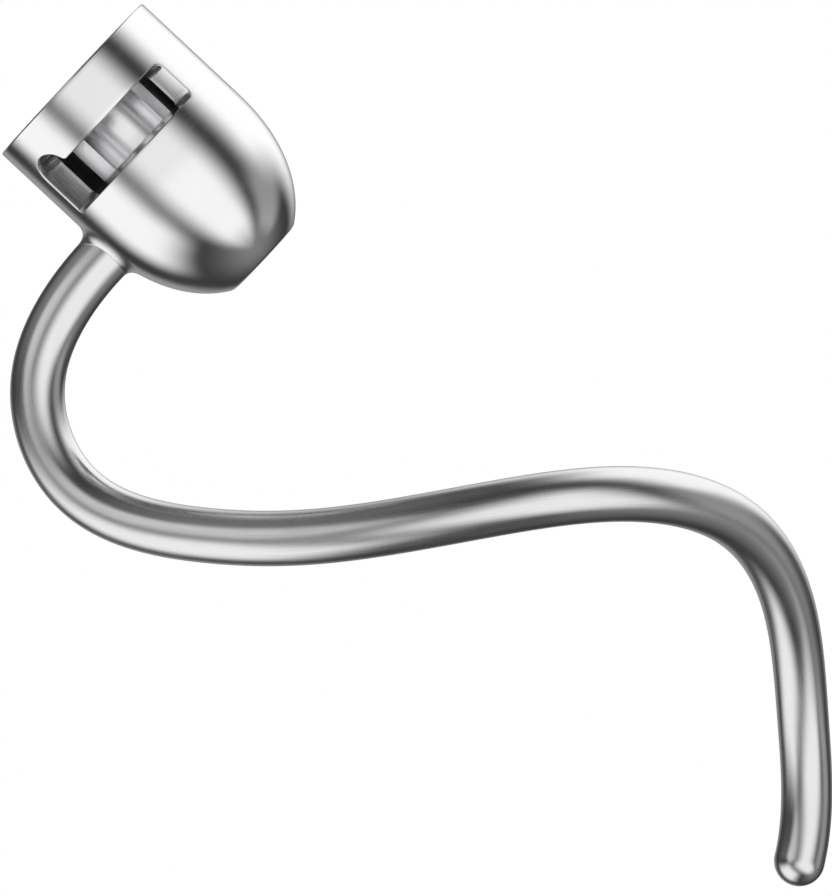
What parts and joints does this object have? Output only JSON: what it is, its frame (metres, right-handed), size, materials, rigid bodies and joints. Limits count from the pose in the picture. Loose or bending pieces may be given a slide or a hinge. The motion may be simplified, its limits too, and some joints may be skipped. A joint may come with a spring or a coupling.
{
  "type": "spiral dough hook",
  "caption": "Spiral dough hook: a cup-shaped hub with a bayonet window for a cross pin, and a round bar that winds down round the axis to a round nose.",
  "frame": {"origin": "centre of the shaft bore's mouth, level with the hub's rim", "axes": "+Z out of the bore towards the mixer, -X towards the root of the bar, -Y towards the bayonet window"},
  "size_m": [0.0844, 0.0578, 0.1945],
  "materials": {
    "hub_steel": "polished",
    "bushing_steel": "machined",
    "bar_steel": "satin polished",
    "weld_steel": "dressed and polished"
  },
  "bodies": {
    "root": {"hub_shell": "hub_steel", "drive_bushing": "bushing_steel", "hook_rod": "bar_steel", "root_weld": "weld_steel"}
  },
  "joints": []
}
